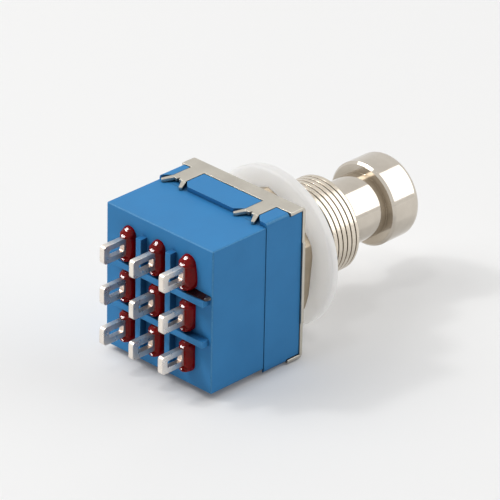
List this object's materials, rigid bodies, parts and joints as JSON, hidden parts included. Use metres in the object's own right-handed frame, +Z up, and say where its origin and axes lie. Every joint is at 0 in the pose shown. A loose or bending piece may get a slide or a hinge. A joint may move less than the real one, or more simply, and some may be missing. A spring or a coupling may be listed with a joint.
{
  "type": "footswitch",
  "caption": "Latching stomp footswitch: square blue body with solder lugs, sheet metal bracket, threaded bushing, washer and round push button, working rocker contacts inside.",
  "frame": {"origin": "on the bushing axis, in the panel plane: the front face of the nylon washer, where the threaded bushing starts to stand free", "axes": "+X along the bushing and the push button, toward the foot; +Z up, with the switch lying on its side on the lower bracket flange and the washer's rim; +Y to the left when looking along +X"},
  "size_m": [0.0432, 0.02, 0.02],
  "materials": {
    "blue_plastic": "moulded, satin",
    "nickel_sheet": "nickel-plated sheet, satin",
    "bright_nickel": "bright nickel plate",
    "plated_alloy": "light alloy, bright nickel plate",
    "spring_steel": "drawn wire",
    "white_nylon": "translucent white nylon",
    "natural_nylon": "natural nylon",
    "brass": "turned",
    "silvered_copper": "silver-plated strip",
    "tinned_copper": "bright tin plate",
    "red_resin": "cast resin, glossy"
  },
  "bodies": {
    "body": {"base": "blue_plastic", "upper_housing": "blue_plastic", "bracket": "nickel_sheet", "bushing": "bright_nickel", "spring_seat": "bright_nickel", "return_spring": "spring_steel", "hex_nut": "bright_nickel", "lock_washer": "nickel_sheet", "nylon_washer": "white_nylon", "terminal_1a": "tinned_copper", "seal_1a": "red_resin", "terminal_1b": "tinned_copper", "seal_1b": "red_resin", "terminal_1c": "tinned_copper", "seal_1c": "red_resin", "terminal_2a": "tinned_copper", "seal_2a": "red_resin", "terminal_2b": "tinned_copper", "seal_2b": "red_resin", "terminal_2c": "tinned_copper", "seal_2c": "red_resin", "terminal_3a": "tinned_copper", "seal_3a": "red_resin", "terminal_3b": "tinned_copper", "seal_3b": "red_resin", "terminal_3c": "tinned_copper", "seal_3c": "red_resin"},
    "button": {"plunger": "plated_alloy", "retaining_clip": "spring_steel", "push_rod_spring": "spring_steel"},
    "rod": {"push_rod": "natural_nylon"},
    "rocking": {"actuator": "natural_nylon", "contact_pin_1": "brass", "contact_pin_2": "brass", "contact_pin_3": "brass", "pin_spring_1": "spring_steel", "pin_spring_2": "spring_steel", "pin_spring_3": "spring_steel"},
    "blade_1": {"rocker_1": "silvered_copper"},
    "blade_2": {"rocker_2": "silvered_copper"},
    "blade_3": {"rocker_3": "silvered_copper"}
  },
  "joints": [
    {"name": "button_press", "type": "slide", "parent": "body", "child": "button", "axis": [-1, 0, 0], "range_m": [0, 0.0032], "stiffness_N_per_m": 2500, "springref_m": -0.003, "deforming": ["return_spring"]},
    {"name": "rod_give", "type": "slide", "parent": "button", "child": "rod", "axis": [1, 0, 0], "range_m": [0, 0.0012], "stiffness_N_per_m": 300, "springref_m": -0.003, "deforming": ["push_rod_spring"]},
    {"name": "actuator_rock", "type": "hinge", "parent": "body", "child": "rocking", "pos_m": [-0.0116, 0, 0], "axis": [0, 0, 1], "range_deg": [-36, 0]},
    {"name": "blade_tilt_1", "type": "hinge", "parent": "body", "child": "blade_1", "pos_m": [-0.01615, 0, 0.0053], "axis": [0, 0, 1], "range_deg": [0, 9]},
    {"name": "blade_tilt_2", "type": "hinge", "parent": "body", "child": "blade_2", "pos_m": [-0.01615, 0, 0], "axis": [0, 0, 1], "range_deg": [0, 9]},
    {"name": "blade_tilt_3", "type": "hinge", "parent": "body", "child": "blade_3", "pos_m": [-0.01615, 0, -0.0053], "axis": [0, 0, 1], "range_deg": [0, 9]}
  ],
  "couplings": [
    {"joint": "blade_tilt_1", "follows": "actuator_rock", "ratio": -0.25},
    {"joint": "blade_tilt_2", "follows": "actuator_rock", "ratio": -0.25},
    {"joint": "blade_tilt_3", "follows": "actuator_rock", "ratio": -0.25}
  ]
}
